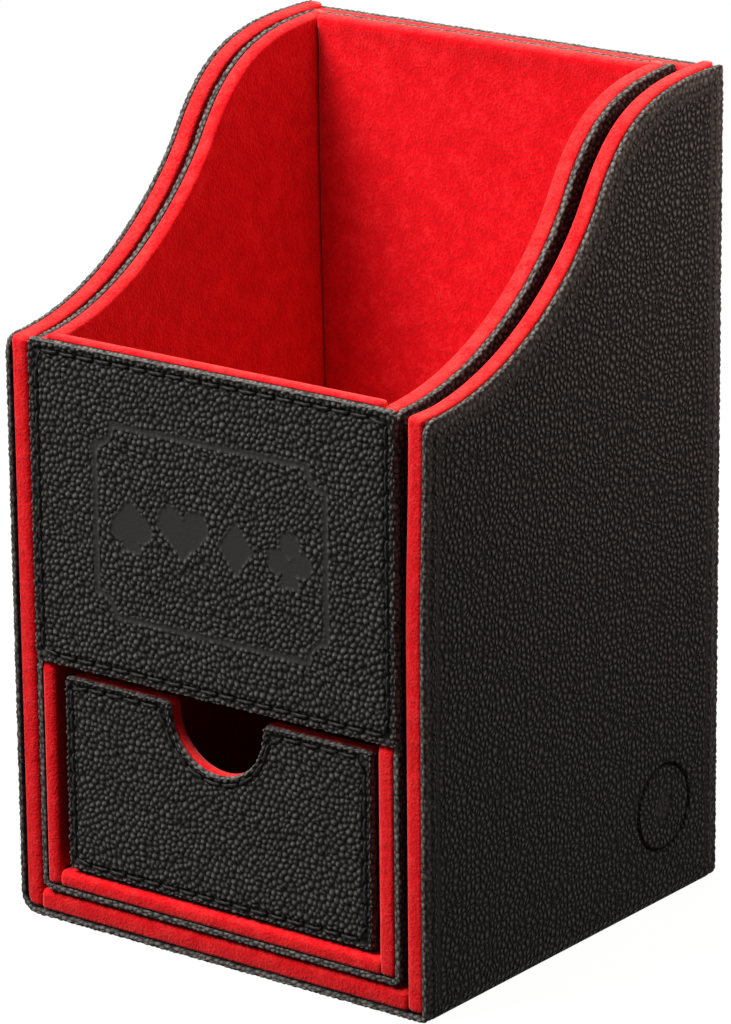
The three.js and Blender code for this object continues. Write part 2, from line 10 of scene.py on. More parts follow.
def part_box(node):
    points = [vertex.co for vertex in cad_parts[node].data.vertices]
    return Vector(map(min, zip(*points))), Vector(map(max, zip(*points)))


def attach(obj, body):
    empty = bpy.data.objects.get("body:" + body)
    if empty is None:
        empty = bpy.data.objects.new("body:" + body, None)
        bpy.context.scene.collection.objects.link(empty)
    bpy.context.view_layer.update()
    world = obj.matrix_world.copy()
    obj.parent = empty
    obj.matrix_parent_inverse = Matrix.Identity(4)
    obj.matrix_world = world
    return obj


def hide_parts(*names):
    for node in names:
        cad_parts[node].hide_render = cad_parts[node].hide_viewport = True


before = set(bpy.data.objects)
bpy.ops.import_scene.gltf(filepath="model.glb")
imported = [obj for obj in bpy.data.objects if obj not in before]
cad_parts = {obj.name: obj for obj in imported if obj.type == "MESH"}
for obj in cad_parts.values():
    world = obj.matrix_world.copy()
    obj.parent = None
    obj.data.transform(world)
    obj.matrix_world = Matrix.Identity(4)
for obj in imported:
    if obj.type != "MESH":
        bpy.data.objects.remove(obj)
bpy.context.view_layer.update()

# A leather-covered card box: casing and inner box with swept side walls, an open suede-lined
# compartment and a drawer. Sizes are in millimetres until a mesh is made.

MM = 0.001
FRONT_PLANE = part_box("case_leather_wrap")[0].y / MM

Faces = namedtuple("Faces", "x0 x1 y0 y1 z0 z1")


def cad_faces(node_name):
    """The faces of a CAD node's box, with y counted from the casing's front plane."""
    low, high = (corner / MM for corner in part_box(node_name))
    return Faces(low.x, high.x, low.y - FRONT_PLANE, high.y - FRONT_PLANE, low.z, high.z)


# Camera: the photograph's view, from the right of the front and above
CAMERA_AZIMUTH = math.radians(37.503)
CAMERA_ELEVATION = math.radians(17.404)
CAMERA_ROLL = math.radians(-0.566)
CAMERA_PLACE = Vector((594.25, -728.32 + FRONT_PLANE, 382.16)) * MM
SENSOR = 36
FOCAL_PIXELS = 5480.103
FRAME_HEIGHT_PIXELS = 1024

# How bright the room and the floor are against a white wall, what the lamps are aimed at, and how
# far the floor reaches, in metres
ROOM_LIGHT = 0.07
FLOOR_GLOW = 0.97
LAMP_AIM = Vector((0, 0, 0.08))
FLOOR_REACH = 6.0

# Layers of a wall: the leathers' thickness is that of their cut edges
GLUE = 0.05
LINING = 0.45
CASE_LEATHER = 1.2
INNER_LEATHER = 1.35
THIN_SKIN = 0.45

# How far the drawer's leather laps round its left edge
DRAWER_LAP = 0.35

# The casing's layers, the inner box's, the front panel's and the drawer front's
CASE = cad_faces("case_leather_wrap")
CASE_SIDE = cad_faces("case_right_lining")._replace(x1=CASE.x1 - CASE_LEATHER - GLUE,
                                                    z0=CASE.z0 + CASE_LEATHER + GLUE)
CASE_FLOOR = cad_faces("case_floor_lining")._replace(z0=CASE.z0 + CASE_LEATHER + GLUE)
CASE_BACK = cad_faces("case_back_lining")
INNER = cad_faces("inner_leather_wrap")
INNER_SIDE = cad_faces("inner_right_lining")
INNER_FLOOR = cad_faces("inner_floor_lining")
INNER_BACK = cad_faces("inner_back_lining")
PANEL = cad_faces("front_panel_leather")
PANEL_LINED = cad_faces("front_panel_lining")
DRAWER_FACE = cad_faces("drawer_front_leather")
DRAWER_FACE = DRAWER_FACE._replace(x0=DRAWER_FACE.x0 - DRAWER_LAP)
DRAWER_LINED = cad_faces("drawer_front_lining")

# The panel's red top edge stands a little above its leather. Its ends lap over the side walls' rims:
# they are rounded from points this far out, and start this far below the lining's top in the CAD.
PANEL_LINED_TOP = PANEL.z1 + 0.75
PANEL_LIP = 2.2
PANEL_LIP_DROP = 0.6

# Turned edges: how round a suede-covered board and a leather edge are, on the shown and the hidden
# side, and how many times further the shown side's round goes across the wall
SUEDE_ROUND = 0.9
SUEDE_ROUND_FAR = 0.8
SUEDE_DEEP = 1.8
THIN_ROUND = 0.9
LEATHER_ROUND = 0.5
THIN_LEATHER_FAR = 0.2
EDGE_CORNER = 1.2
LEATHER_CORNER = 3.0
SHEET_CORNER = 1.0
MITRE = None
MITRE_ROOM = 1.1
CORNER_ROOM = 0.3

# Where the side walls' fronts step back, beside the panel's lower edge
BAY_STEP_LOW = PANEL.z0 - 1.5
BAY_STEP_HIGH = PANEL.z0 + 0.5

# How far the suede swells beside a turned edge, and how far in from the edge that reaches
CASE_SWELL = 0.4
INNER_SWELL = {-1: 0.15, 1: 0.85}
CASE_FLOOR_SWELL = 0.1
INNER_FLOOR_SWELL = 0.25
BACK_SWELL = 0.3
SWELL_REACH = 2.5

# How the walls give way above the shelf: the left ones bow out in the middle of their depth, the
# casing's right one spreads at its front, and the inner box's right one leans in
BOW = 2.5
BOW_DEPTH = 96
BOW_LOW = 65
BOW_HIGH = 135
SPREAD = 0.85
SPREAD_LOW = 70
SPREAD_HIGH = 112
LEAN = 0.25
TOP_LEAN = 1.0
LEAN_LOW = 100

# How far below the wall tops the casing's and the inner box's back linings end
CASE_BACK_DROP = 0.9
INNER_BACK_DROP = 0.3

# Corner bends of the leather wraps, left and right, and of the drawer's skin
CASE_BENDS = (4.0, 1.5)
INNER_BENDS = (2.2, 2.2)
SKIN_BEND = 0.8

# The sweep of the side walls: two cubic curves that meet on the steep stretch
LINED_RISE = CASE_BACK.z1 - CASE.z1
CASE_LEATHER_RISES = (0.85, 0.45)
INNER_LEATHER_RISES = (0.85, 0.85)
SWEEP_FRONT = (CASE.y0, PANEL_LINED.z1 - LINED_RISE)
SWEEP_BACK = (CASE.y1, CASE.z1)
SWEEP_MIDDLE = (53.8, 141.2)
SWEEP_MIDDLE_HANDLE = (8, 13.2)
SWEEP_FRONT_HANDLE = 26
SWEEP_BACK_HANDLE = 22.8
SWEEP_STEPS = 90

# The band that is pressed smooth into the casing leather along its edges
BAND = 4.0
BAND_DEPTH = 0.25
BAND_WIDTH = 0.5
BAND_SMOOTH = 0.2

# Stitching on the front panel and the drawer front
PANEL_SEAM = 2.0
DRAWER_SEAM = 1.6
STITCH = 4.2
THREAD = 0.55
SEAM_DEPTH = 0.35
SEAM_WIDTH = 0.5
HOLE_WIDTH = 0.55

# Pressed marks: the ring and its lozenge on the right wall, the frame and its pips on the panel
PRESS_DEPTH = 0.45
PRESS_SOFT = 0.22
RING_Y = 75
RING_Z = 19.2
RING_RADIUS = 8.35
RING_LINE = 0.9
LOZENGE_HALF = (3, 4)
LOZENGE_DEPTH = 0.25
FRAME_X = 27
FRAME_LOW = 63.5
FRAME_HIGH = 101
FRAME_LINE = 0.9
FRAME_BITE = 4.2
PIP_SPACING = 12.2
PIP_HEIGHT = 10.5

# Finger notch
NOTCH_RADIUS = 10.8
NOTCH_CENTRE = 48
NOTCH_CORNER = 1.3

# The leather's grain: how far apart its pebbles are, and how deep the creases between them
PEBBLE = 1.3
PEBBLE_DEPTH = 0.6
DRAWN_DEPTH = 1.0
RIM_PEBBLE_DEPTH = 0.3
THIN_PEBBLE_DEPTH = 0.1

# Finer patterns: the leather's pores, the suede's swirls and nap, the board's fibres, and how deep
# the nap, the fibres and the thread's plies are. A real nap is too fine to show, so it is coarser.
PORE = 0.3
SWIRL = 3.2
NAP = 0.5
NAP_DEPTH = 0.2
FIBRE = 0.8
FIBRE_DEPTH = 0.08
PLY_DEPTH = 0.08

# How far in from an edge the grain is modelled, and how far it takes to fade
MODELLED_EDGE = 1.6
MODELLED_FADE = 1.5

# How close a mesh's points are: on a grained face, along a leather edge, beside a swollen edge, on a
# leather sheet, on suede and where nothing is seen
FACE_SPACING = 0.27
RIM_STEP = 0.35
SWELL_SPACING = 0.9
SHEET_SPACING = 3.0
SUEDE_SPACING = 4.0
HIDDEN_SPACING = 12.0


# Outlines

def arc(centre, radius, start, end, steps):
    """Points on an arc from one angle to another, in degrees."""
    angles = np.radians(np.linspace(start, end, steps + 1))
    return np.stack([centre[0] + radius * np.cos(angles), centre[1] + radius * np.sin(angles)], 1)


def dense(points, step):
    """A closed outline with a point at least every step."""
    found = []
    for a, b in zip(points, np.roll(points, -1, axis=0)):
        count = max(1, math.ceil(np.linalg.norm(b - a) / step))
        found.append(a + (b - a) * np.arange(count)[:, None] / count)
    return np.vstack(found)


def rounded(corners, step):
    """A closed outline through (u, v, radius) corners, counter-clockwise, with round corners.

    A corner with MITRE for its radius is sharp, and has room beside it for a turned edge."""
    found = []
    mitres = []
    count = len(corners)
    for i, (u, v, radius) in enumerate(corners):
        here = np.array([u, v], float)
        if radius is MITRE:
            mitres.append(here)
        if not radius:
            found.append(here[None])
            continue
        before = np.array(corners[i - 1][:2]) - here
        after = np.array(corners[(i + 1) % count][:2]) - here
        before = before / np.linalg.norm(before)
        after = after / np.linalg.norm(after)
        half_angle = math.acos(np.clip(before @ after, -1, 1)) / 2
        middle = (before + after) / np.linalg.norm(before + after)
        centre = here + middle * radius / math.sin(half_angle)
        reach = radius / math.tan(half_angle)
        start = here + before * reach - centre
        end = here + after * reach - centre
        first = math.degrees(math.atan2(start[1], start[0]))
        turn = math.degrees(math.atan2(end[1], end[0])) - first
        turn = (turn + 180) % 360 - 180
        found.append(arc(centre, radius, first, first + turn, max(3, round(radius * 4))))
    outline = dense(np.vstack(found), step)
    for mitre in mitres:
        far = np.linalg.norm(outline - mitre, axis=1)
        outline = outline[(far < 1e-6) | (far > MITRE_ROOM)]
    return outline


def bezier(points, steps):
    """Places and directions on a cubic curve."""
    t = np.linspace(0, 1, steps + 1)[:, None]
    a, b, c, d = (np.array(p, float) for p in points)
    place = (1 - t) ** 3 * a + 3 * (1 - t) ** 2 * t * b + 3 * (1 - t) * t ** 2 * c + t ** 3 * d
    way = (1 - t) ** 2 * (b - a) + 2 * (1 - t) * t * (c - b) + t ** 2 * (d - c)
    return place, way / np.linalg.norm(way, axis=1)[:, None]


def sweep(rise, front, back):
    """The swept edge as [y, z] points from front to back, moved out by rise."""
    start, middle, end = (np.array(p, float) for p in (SWEEP_FRONT, SWEEP_MIDDLE, SWEEP_BACK))
    handle = np.array(SWEEP_MIDDLE_HANDLE, float)
    low = bezier([start, start + (SWEEP_FRONT_HANDLE, 0), middle - handle, middle], SWEEP_STEPS)
    high = bezier([middle, middle + handle, end - (SWEEP_BACK_HANDLE, 0), end], SWEEP_STEPS)
    place = np.vstack([low[0], high[0][1:]])
    way = np.vstack([low[1], high[1][1:]])
    moved = place + rise * np.stack([-way[:, 1], way[:, 0]], 1)
    inside = (moved[:, 0] > front) & (moved[:, 0] < back)
    return moved[inside]


def inward(outline):
    """The direction into a closed counter-clockwise outline, longer at a corner, so that a margin
    keeps its width."""
    before = outline - np.roll(outline, 1, axis=0)
    after = np.roll(outline, -1, axis=0) - outline
    before = before / np.linalg.norm(before, axis=1)[:, None]
    after = after / np.linalg.norm(after, axis=1)[:, None]
    side = np.stack([-before[:, 1], before[:, 0]], 1)
    both = side + np.stack([-after[:, 1], after[:, 0]], 1)
    both = both / np.linalg.norm(both, axis=1)[:, None]
    return both / np.maximum((both * side).sum(1), 0.5)[:, None]


def side_outline(front, back, bottom, rise, step, front_above=None):
    """A side wall seen from the side, as (y, z): its front edge may step back above the drawer bay."""
    above = front if front_above is None else front_above
    top_front = SWEEP_FRONT[1] + rise
    top_back = SWEEP_BACK[1] + rise
    swept = sweep(rise, above + EDGE_CORNER + CORNER_ROOM, back - SHEET_CORNER - CORNER_ROOM)
    corners = [(front, bottom, SHEET_CORNER), (back, bottom, SHEET_CORNER), (back, top_back, MITRE)]
    corners += [(y, z, 0) for y, z in swept[::-1]]
    corners += [(above, top_front, EDGE_CORNER)]
    if above != front:
        corners += [(above, BAY_STEP_HIGH, 0), (front, BAY_STEP_LOW, 0)]
    return rounded(corners, step)


def rectangle(u0, u1, v0, v1, radius, step):
    return rounded([(u0, v0, radius), (u1, v0, radius), (u1, v1, radius), (u0, v1, radius)], step)


def within(points, outline):
    """Which points lie inside a closed outline."""
    inside = np.zeros(len(points), bool)
    u, v = points[:, 0], points[:, 1]
    for a, b in zip(outline, np.roll(outline, -1, axis=0)):
        crosses = (a[1] > v) != (b[1] > v)
        with np.errstate(divide="ignore", invalid="ignore"):
            at = a[0] + (v - a[1]) * (b[0] - a[0]) / (b[1] - a[1])
        inside ^= crosses & (u < at)
    return inside


# Meshes

def nearest(points, targets):
    """How far each point is from the nearest target."""
    tree = kdtree.KDTree(len(targets))
    for i, target in enumerate(targets):
        tree.insert((target[0], target[1], 0), i)
    tree.balance()
    return np.array([tree.find((p[0], p[1], 0))[2] for p in points])


def grid(outline, spacing, offset=0.0):
    low = outline.min(0) + offset
    high = outline.max(0)
    u, v = np.meshgrid(np.arange(low[0], high[0], spacing), np.arange(low[1], high[1], spacing))
    u = u + (np.arange(u.shape[0]) % 2)[:, None] * spacing / 2
    return np.stack([u.ravel(), v.ravel()], 1)


def inner_points(outline, spacing, fine=None, near=None):
    """Points to fill an outline with: a coarse grid, and a fine one where near says so."""
    def inside_grid(step):
        points = grid(outline, step, step / 2)
        points = points[nearest(points, outline) > 0.5 * step]
        return points[within(points, outline[::3])]

    coarse = inside_grid(spacing)
    if near is None:
        return coarse
    close = inside_grid(fine)
    close = close[near(close)]
    coarse = coarse[~near(coarse)]
    coarse = coarse[nearest(coarse, close) > 0.6 * spacing]
    return np.vstack([coarse, close])


def fill(loop, inside):
    """Triangles that fill a closed loop and use the points inside it."""
    points = [Vector(p) for p in np.vstack([loop, inside])]
    found = delaunay_2d_cdt(points, [], [list(range(len(loop)))], 1, 1e-7)
    assert len(found[0]) == len(points)
    return [list(face) for face in found[2]]


Made = namedtuple("Made", "flat faces grain shown turned")


def plate(outline, rim, spacing, fine=None, near=None, face=None, under_spacing=None):
    """A sheet or board in the flat, as (u, v, depth) points and faces.

    rim lists (inset, depth, follow) steps from the shown face round the edge to the hidden face.
    face gives how deep the shown face lies at (u, v) points; the rim follows it where follow is 1.
    grain is where each point lies on the sheet laid flat, shown is 1 on the shown side and rim, and
    turned is 1 on the edge itself."""
    into = inward(outline)
    count = len(outline)
    rim = np.array(rim)
    loops = [outline + into * inset for inset in rim[:, 0]]
    travelled = np.r_[0, np.cumsum(np.hypot(np.diff(rim[:, 0]), np.diff(rim[:, 1])))]
    top = inner_points(loops[0], spacing, fine, near)
    under = inner_points(loops[-1], under_spacing or spacing)
    depth_at = face or (lambda points: np.zeros(len(points)))
    edge_depth = depth_at(loops[0])
    flat = np.vstack([
        *(np.column_stack([loop, depth + follow * edge_depth])
          for loop, (_, depth, follow) in zip(loops, rim)),
        np.column_stack([top, rim[0, 1] + depth_at(top)]),
        np.column_stack([under, rim[-1, 1] + rim[-1, 2] * depth_at(under)]),
    ])
    grain = np.vstack([*(outline + into * (rim[0, 0] - far) for far in travelled), top, under])
    side = np.repeat(travelled < 0.8 * travelled[-1], count)
    shown = np.r_[side, np.ones(len(top)), np.zeros(len(under))]
    edge_share = np.clip(1 - rim[:, 0] / rim[0, 0], 0, 1)
    turned = np.r_[np.repeat(edge_share, count), np.zeros(len(top) + len(under))]
    faces = []
    first_top = count * len(rim)
    first_under = first_top + len(top)
    for a, b, c in fill(loops[0], top):
        faces.append([i if i < count else i - count + first_top for i in (a, b, c)])
    last = count * (len(rim) - 1)
    for a, b, c in fill(loops[-1], under):
        faces.append([i + last if i < count else i - count + first_under for i in (a, c, b)])
    for k in range(len(rim) - 1):
        for i in range(count):
            j = (i + 1) % count
            faces.append([k * count + j, k * count + i, (k + 1) * count + i, (k + 1) * count + j])
    return Made(flat, faces, grain, shown, turned)


def add_object(name, data):
    made = bpy.data.objects.new(name, data)
    bpy.context.scene.collection.objects.link(made)
    return made


def make_object(name, points, faces, marks=None):
    """A mesh object from points in millimetres; marks are named values at its points."""
    mesh = bpy.data.meshes.new(name)
    frame_points = (points + (0, FRONT_PLANE, 0)) * MM
    volume = 0
    for picks in ((0, 1, 2), (0, 2, 3)):
        corners = np.array([[face[k] for k in picks] for face in faces if len(face) > picks[-1]])
        a, b, c = (frame_points[corners[:, i]] for i in range(3))
        volume += (a * np.cross(b, c)).sum()
    if volume < 0:
        faces = [face[::-1] for face in faces]
    mesh.from_pydata(frame_points.tolist(), [], faces)
    mesh.polygons.foreach_set("use_smooth", np.ones(len(mesh.polygons), bool))
    for mark, values in (marks or {}).items():
        if values.ndim == 1:
            attribute = mesh.attributes.new(mark, "FLOAT", "POINT")
            attribute.data.foreach_set("value", values.astype(np.float32))
        else:
            attribute = mesh.attributes.new(mark, "FLOAT_VECTOR", "POINT")
            attribute.data.foreach_set("vector", values.astype(np.float32).ravel())
    mesh.update()
    return add_object(name, mesh)


def sink(piece, depth):
    """Moves each point of a mesh in along its normal by depth, in millimetres."""
    mesh = piece.data
    place = np.zeros(len(mesh.vertices) * 3)
    mesh.vertices.foreach_get("co", place)
    normal = np.zeros(len(mesh.vertices) * 3)
    mesh.vertex_normals.foreach_get("vector", normal)
    mesh.vertices.foreach_set("co", place - normal * np.repeat(depth * MM, 3))
    mesh.update()


# The leather's grain

def hashed(i, j, seed):
    """A number from 0 to 1 for each whole-numbered cell, the same in every run."""
    mixed = ((i * 73856093) ^ (j * 19349663) ^ (seed * 83492791)) & 0xFFFFFFFF
    for _ in range(2):
        mixed = ((mixed ^ (mixed >> 16)) * 0x45D9F3B) & 0xFFFFFFFF
    return (mixed ^ (mixed >> 16)) / 0xFFFFFFFF


def pebbles(points):
    """The grain at (u, v) points: 0 in a crease, up to 1 on top of a pebble."""
    slow = np.stack([np.sin(points[:, 1] / 3.1 + np.sin(points[:, 0] / 4.7)),
                     np.sin(points[:, 0] / 3.7 + np.sin(points[:, 1] / 5.3))], 1)
    place = (points + 0.4 * slow) / PEBBLE
    row_height = math.sqrt(3) / 2
    row = np.floor(place[:, 1] / row_height).astype(np.int64)
    first = np.full(len(points), 9.0)
    second = np.full(len(points), 9.0)
    top = np.zeros(len(points))
    for j in (row - 1, row, row + 1):
        shift = (j % 2) / 2
        column = np.floor(place[:, 0] - shift).astype(np.int64)
        for i in (column - 1, column, column + 1):
            u = i + 0.5 + shift + 0.75 * (hashed(i, j, 1) - 0.5)
            v = (j + 0.5) * row_height + 0.7 * (hashed(i, j, 2) - 0.5)
            far = np.hypot(place[:, 0] - u, place[:, 1] - v)
            closer = far < first
            second = np.where(closer, first, np.minimum(second, far))
            top = np.where(closer, 0.75 + 0.25 * hashed(i, j, 3), top)
            first = np.where(closer, far, first)
    return top * (1 - (2 * first / (first + second)) ** 2) ** 0.8


def leather_object(name, made, place, pressed, modelled, depth, sunk_and_shaded=0.0):
    """A leather piece: pebbles modelled as deep as depth where modelled is 1.

    The grain is pressed smooth where pressed is 1. Where the last argument is 1, the grain is sunk as deep
    as a crease and painted as dark as one: painted shade."""
    pebble = pebbles(made.grain) * (1 - sunk_and_shaded)
    keep = 1 - 0.95 * pressed
    flat_grain = np.column_stack([made.grain, np.zeros(len(made.grain))]) * MM
    piece = make_object(name, place(made.flat), made.faces, {
        "pressed": pressed, "pebble": 1 - (1 - pebble) * keep, "modelled": modelled, "grain": flat_grain,
        "turned": made.turned,
    })
    sink(piece, depth * (1 - pebble) * keep * modelled * made.shown)
    return piece


def finish_piece(piece, material, slot, body, *nodes):
    piece.data.materials.append(material)
    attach(piece, body)
    if nodes:
        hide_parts(*nodes)


# Rims, as (inset, depth, follow) steps

def rim_steps(points, follow):
    return [(inset, depth, follow) for inset, depth in points]


def leather_rim(thickness, near_round=LEATHER_ROUND, far_round=LEATHER_ROUND):
    """A cut leather edge, rounded on both sides."""
    near_part = arc((near_round, near_round), near_round, 270, 180, 4)
    far_part = arc((far_round, thickness - far_round), far_round, 180, 90, 3)
    between = np.linspace(near_part[-1], far_part[0], 4)[1:-1]
    return rim_steps(near_part, 1) + rim_steps(between, 0.5) + rim_steps(far_part, 0)


def thin_rim(thickness):
    radius = 0.48 * thickness
    return leather_rim(thickness, radius, radius)


def suede_rim(thickness, near_round, far_round, deep):
    """Suede turned round a board's edge, and back along its own inside."""
    near_centre = (near_round, near_round)
    far_centre = (far_round, thickness - far_round)
    return [
        *rim_steps(arc(near_centre, near_round, 270, 180, 6) * (1, deep), 1),
        *rim_steps(arc(far_centre, far_round, 180, 90, 4), 0),
        *rim_steps(arc(far_centre, far_round - LINING, 90, 180, 3), 0),
        *rim_steps(arc(near_centre, near_round - LINING, 180, 270, 3) * (1, deep), 1),
    ]


def board_rim(thickness, near_round, far_round, deep):
    """A board that fits inside its suede."""
    skin = LINING + GLUE
    near_part = arc((near_round, near_round), near_round - skin, 270, 180, 3) * (1, deep)
    far_part = arc((far_round, thickness - far_round), far_round - skin, 180, 90, 3)
    step = [(far_round + GLUE, thickness - skin), (far_round + GLUE, thickness)]
    return rim_steps(np.vstack([near_part, far_part, step]), 0)


# Where flat patterns go

def side_place(side, into, scale=None):
    """A side wall: u is y, v is z, and depth runs outwards from the inner face."""
    def place(flat):
        depth = flat[:, 2] if scale is None else flat[:, 2] * scale(flat[:, 1])
        return np.column_stack([side * (into + depth), flat[:, 0], flat[:, 1]])
    return place


def giving(place, lean=0.0):
    """Puts a piece where its walls have given way; lean is the share of the right wall's lean that it
    follows."""
    def given(flat):
        points = place(flat)
        x, y, z = points.T
        bow = BOW * np.sin(math.pi * np.clip(y / BOW_DEPTH, 0, 1)) * soft_step(z, BOW_LOW, BOW_HIGH)
        leaning = LEAN + TOP_LEAN * np.clip((z - LEAN_LOW) / (CASE.z1 - LEAN_LOW), 0, 1)
        spreading = SPREAD * soft_step(z, SPREAD_LOW, SPREAD_HIGH) * np.clip(1 - y / CASE.y1, 0, 1)
        right = lean * leaning - (1 - lean) * spreading
        shift = bow * np.clip(-x / INNER_SIDE.x0, 0, 1) + right * np.clip(x / INNER_SIDE.x0, 0, 1)
        return points - np.column_stack([shift, np.zeros((len(points), 2))])
    return given


def floor_place(top):
    return lambda flat: np.column_stack([flat[:, 0], flat[:, 1], top - flat[:, 2]])


def front_place(front):
    return lambda flat: np.column_stack([flat[:, 0], front + flat[:, 2], flat[:, 1]])


def rear_place(back):
    return lambda flat: np.column_stack([flat[:, 0], back - flat[:, 2], flat[:, 1]])


def wrap_place(half, bottom, bends):
    """A strip bent up at both sides: u is y, v runs along the strip from the bottom's middle."""
    def place(flat):
        along = np.abs(flat[:, 1])
        side = np.sign(flat[:, 1])
        bend = np.where(side < 0, *bends)
        flat_end = half - bend
        wall_start = flat_end + bend * math.pi / 2
        angle = np.clip((along - flat_end) / bend, 0, math.pi / 2)
        x = np.minimum(along, flat_end) + (bend - flat[:, 2]) * np.sin(angle)
        z = bend - (bend - flat[:, 2]) * np.cos(angle) + np.maximum(along - wall_start, 0)
        return np.column_stack([side * x, flat[:, 0], bottom + z])
    return place


def wrap_along(half, bottom, bend, z):
    """How far along the strip a height on its wall is."""
    return half - bend + bend * math.pi / 2 + (z - bottom - bend)


def wrap_outline(half, bottom, bends, front, back, rises, front_above=None):
    """The strip's outline as (y, along), with swept ends."""
    above = front if front_above is None else front_above
    halves = []
    for bend, rise in zip(bends, rises):
        corners = [(above, BAY_STEP_HIGH, 0), (above, SWEEP_FRONT[1] + rise, LEATHER_CORNER)]
        if above != front:
            corners = [(front, BAY_STEP_LOW, 0)] + corners
        swept = sweep(rise, above + LEATHER_CORNER + CORNER_ROOM, back - SHEET_CORNER - CORNER_ROOM)
        corners += [(y, z, 0) for y, z in swept] + [(back, SWEEP_BACK[1] + rise, SHEET_CORNER)]
        halves.append([(y, wrap_along(half, bottom, bend, z), radius) for y, z, radius in corners])
    left, right = halves
    return rounded([(y, -along, radius) for y, along, radius in left] + right[::-1], RIM_STEP)


# Pressed marks

def soft_step(value, low, high):
    t = np.clip((value - low) / (high - low), 0, 1)
    return t * t * (3 - 2 * t)


def line_press(points, line, depth, width):
    """A rounded groove along a line of points."""
    return depth * np.exp(-(nearest(points, line) / width) ** 2)


def area_press(points, outline, depth):
    """A flat-bottomed mark inside an outline, with soft walls. Returns the depth and how fully pressed."""
    shape = dense(outline, 0.12)
    pressed = np.zeros(len(points))
    margin = 2 * PRESS_SOFT
    close = np.all((points > shape.min(0) - margin) & (points < shape.max(0) + margin), axis=1)
    if close.any():
        some = points[close]
        signed = np.where(within(some, outline), 1, -1) * nearest(some, shape)
        pressed[close] = soft_step(signed, -PRESS_SOFT, PRESS_SOFT)
    return depth * pressed, pressed


def heart(x, z, height, flip):
    """A heart by its usual formula, which is 29 high with its middle at -2.5."""
    t = np.linspace(0, 2 * math.pi, 48, endpoint=False)
    across = 16 * np.sin(t) ** 3
    up = 13 * np.cos(t) - 5 * np.cos(2 * t) - 2 * np.cos(3 * t) - np.cos(4 * t) + 2.5
    return np.stack([x + across * height / 29, z + up * height / 29 * flip], 1)


def pip_foot(x, z, height):
    wide, slim, bottom = 0.22 * height, 0.05 * height, z - height / 2
    return np.array([[x - wide, bottom], [x + wide, bottom], [x + slim, z], [x - slim, z]])


def pips():
    """Outlines of spade, heart, diamond and club in a row; some are made of several shapes."""
    z = (FRAME_LOW + FRAME_HIGH) / 2
    h = PIP_HEIGHT
    x = [(i - 1.5) * PIP_SPACING for i in range(4)]
    lobe = 0.225 * h
    shapes = [heart(x[0], z + 0.09 * h, 0.82 * h, -1), pip_foot(x[0], z, h)]
    shapes += [heart(x[1], z, h, 1)]
    shapes += [np.array([[x[2] - 0.38 * h, z], [x[2], z - h / 2], [x[2] + 0.38 * h, z], [x[2], z + h / 2]])]
    for dx, dz in ((0, h / 2 - lobe), (-0.252 * h, -0.056 * h), (0.252 * h, -0.056 * h)):
        shapes += [arc((x[3] + dx, z + dz), lobe, 0, 345, 23)]
    return shapes + [pip_foot(x[3], z, h)]


def bitten_frame(inset):
    x, low, high = FRAME_X - inset, FRAME_LOW + inset, FRAME_HIGH - inset
    corners = ((-x, low, 90), (x, low, 180), (x, high, 270), (-x, high, 360))
    return np.vstack([arc((u, v), FRAME_BITE, start, start - 90, 10) for u, v, start in corners])


# Materials

def linear(hex_colour):
    """An sRGB hex colour as the linear colour that shaders use."""
    values = [int(hex_colour[i:i + 2], 16) / 255 for i in (1, 3, 5)]
    return [v / 12.92 if v <= 0.04045 else ((v + 0.055) / 1.055) ** 2.4 for v in values] + [1.0]


def node(tree, kind, settings=None, **links):
    """Adds a shader node. settings are its properties, or a colour ramp's stops as (position, hex
    colour). links are its inputs, as values, other nodes' outputs, or nodes whose first output it is."""
    made = tree.nodes.new("ShaderNode" + kind)
    settings = dict(settings or {})
    for i, (position, colour) in enumerate(settings.pop("stops", [])):
        bar = made.color_ramp
        element = bar.elements[i] if i < 2 else bar.elements.new(position)
        element.position = position
        element.color = linear(colour)
    for key, value in settings.items():
        setattr(made, key, value)
    for key, value in links.items():
        numbered = key[0] == "i" and key[1:].isdigit()
        socket = made.inputs[int(key[1:]) if numbered else key.replace("_", " ")]
        if isinstance(value, bpy.types.Node):
            value = value.outputs[0]
        if isinstance(value, bpy.types.NodeSocket):
            tree.links.new(value, socket)
        else:
            socket.default_value = value
    return made


def new_material(name):
    material = bpy.data.materials.new(name)
    material.use_nodes = True
    tree = material.node_tree
    tree.nodes.clear()
    return material, tree


